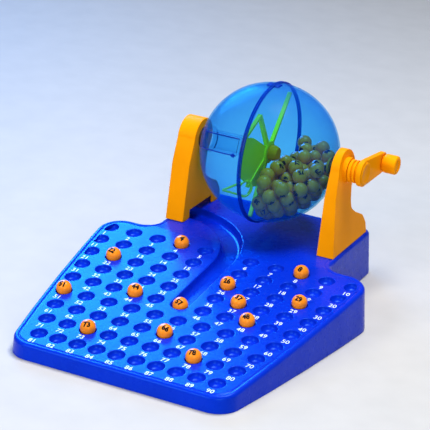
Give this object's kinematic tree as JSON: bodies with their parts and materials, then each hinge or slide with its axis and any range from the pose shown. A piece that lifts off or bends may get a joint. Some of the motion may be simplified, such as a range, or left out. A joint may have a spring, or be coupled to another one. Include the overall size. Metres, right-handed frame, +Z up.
{
  "type": "bingo cage",
  "caption": "Tabletop bingo cage: a crank-turned clear blue globe of balls on two yellow supports, over a sloping blue tray with numbered ball pockets.",
  "frame": {"origin": "on the table, under the middle of the object's bounding box", "axes": "+Z up, +X towards the crank's side along the globe's axle, +Y towards the globe at the back"},
  "size_m": [0.2096, 0.271, 0.1409],
  "materials": {
    "tray_blue": "glossy",
    "support_yellow": "satin",
    "cage_blue": "clear glossy",
    "selector_lime": "glossy",
    "ball_orange": "satin"
  },
  "bodies": {
    "stand": {"base_tray": "tray_blue", "left_support": "support_yellow", "left_support_cover": "support_yellow", "right_support": "support_yellow", "cage_ball_01": "ball_orange", "cage_ball_02": "ball_orange", "cage_ball_03": "ball_orange", "cage_ball_04": "ball_orange", "cage_ball_05": "ball_orange", "cage_ball_06": "ball_orange", "cage_ball_07": "ball_orange", "cage_ball_08": "ball_orange", "cage_ball_09": "ball_orange", "cage_ball_10": "ball_orange", "cage_ball_11": "ball_orange", "cage_ball_12": "ball_orange", "cage_ball_13": "ball_orange", "cage_ball_14": "ball_orange", "cage_ball_15": "ball_orange", "cage_ball_16": "ball_orange", "cage_ball_17": "ball_orange", "cage_ball_18": "ball_orange", "cage_ball_19": "ball_orange", "cage_ball_20": "ball_orange", "cage_ball_21": "ball_orange", "cage_ball_22": "ball_orange", "cage_ball_23": "ball_orange", "cage_ball_24": "ball_orange", "cage_ball_25": "ball_orange", "cage_ball_26": "ball_orange"},
    "cage": {"cage_left_half": "cage_blue", "cage_right_half": "cage_blue", "exit_tube": "cage_blue", "drive_shaft": "support_yellow", "selector_hub": "support_yellow", "selector": "selector_lime", "crank_arm": "support_yellow", "knob_pin": "support_yellow"},
    "knob": {"crank_knob": "support_yellow"},
    "door": {"cage_door": "cage_blue"},
    "called_ball_04": {"called_ball_04": "ball_orange"},
    "called_ball_08": {"called_ball_08": "ball_orange"},
    "called_ball_22": {"called_ball_22": "ball_orange"},
    "called_ball_26": {"called_ball_26": "ball_orange"},
    "called_ball_29": {"called_ball_29": "ball_orange"},
    "called_ball_37": {"called_ball_37": "ball_orange"},
    "called_ball_44": {"called_ball_44": "ball_orange"},
    "called_ball_48": {"called_ball_48": "ball_orange"},
    "called_ball_51": {"called_ball_51": "ball_orange"},
    "called_ball_66": {"called_ball_66": "ball_orange"},
    "called_ball_73": {"called_ball_73": "ball_orange"},
    "called_ball_78": {"called_ball_78": "ball_orange"},
    "drawn_ball": {"drawn_ball": "ball_orange"}
  },
  "joints": [
    {"name": "cage_spin", "type": "hinge", "parent": "stand", "child": "cage", "pos_m": [0, 0.08425, 0.0897], "axis": [1, 0, 0], "continuous": true},
    {"name": "knob_spin", "type": "hinge", "parent": "cage", "child": "knob", "pos_m": [0.079, 0.11777, 0.08736], "axis": [1, 0, 0], "continuous": true},
    {"name": "door_hinge", "type": "hinge", "parent": "cage", "child": "door", "pos_m": [-0.0358, 0.05201, 0.10143], "axis": [0, -0.342, -0.9397], "range_deg": [0, 80]},
    {"name": "called_ball_04_lift", "type": "slide", "parent": "stand", "child": "called_ball_04", "axis": [0, -0.1219, 0.9925], "range_m": [0, 0.03]},
    {"name": "called_ball_08_lift", "type": "slide", "parent": "stand", "child": "called_ball_08", "axis": [0, -0.1219, 0.9925], "range_m": [0, 0.03]},
    {"name": "called_ball_22_lift", "type": "slide", "parent": "stand", "child": "called_ball_22", "axis": [0, -0.1219, 0.9925], "range_m": [0, 0.03]},
    {"name": "called_ball_26_lift", "type": "slide", "parent": "stand", "child": "called_ball_26", "axis": [0, -0.1219, 0.9925], "range_m": [0, 0.03]},
    {"name": "called_ball_29_lift", "type": "slide", "parent": "stand", "child": "called_ball_29", "axis": [0, -0.1219, 0.9925], "range_m": [0, 0.03]},
    {"name": "called_ball_37_lift", "type": "slide", "parent": "stand", "child": "called_ball_37", "axis": [0, -0.1219, 0.9925], "range_m": [0, 0.03]},
    {"name": "called_ball_44_lift", "type": "slide", "parent": "stand", "child": "called_ball_44", "axis": [0, -0.1219, 0.9925], "range_m": [0, 0.03]},
    {"name": "called_ball_48_lift", "type": "slide", "parent": "stand", "child": "called_ball_48", "axis": [0, -0.1219, 0.9925], "range_m": [0, 0.03]},
    {"name": "called_ball_51_lift", "type": "slide", "parent": "stand", "child": "called_ball_51", "axis": [0, -0.1219, 0.9925], "range_m": [0, 0.03]},
    {"name": "called_ball_66_lift", "type": "slide", "parent": "stand", "child": "called_ball_66", "axis": [0, -0.1219, 0.9925], "range_m": [0, 0.03]},
    {"name": "called_ball_73_lift", "type": "slide", "parent": "stand", "child": "called_ball_73", "axis": [0, -0.1219, 0.9925], "range_m": [0, 0.03]},
    {"name": "called_ball_78_lift", "type": "slide", "parent": "stand", "child": "called_ball_78", "axis": [0, -0.1219, 0.9925], "range_m": [0, 0.03]},
    {"name": "drawn_ball_roll", "type": "slide", "parent": "stand", "child": "drawn_ball", "axis": [0, 0.9925, 0.1219], "range_m": [0, 0.055]}
  ]
}
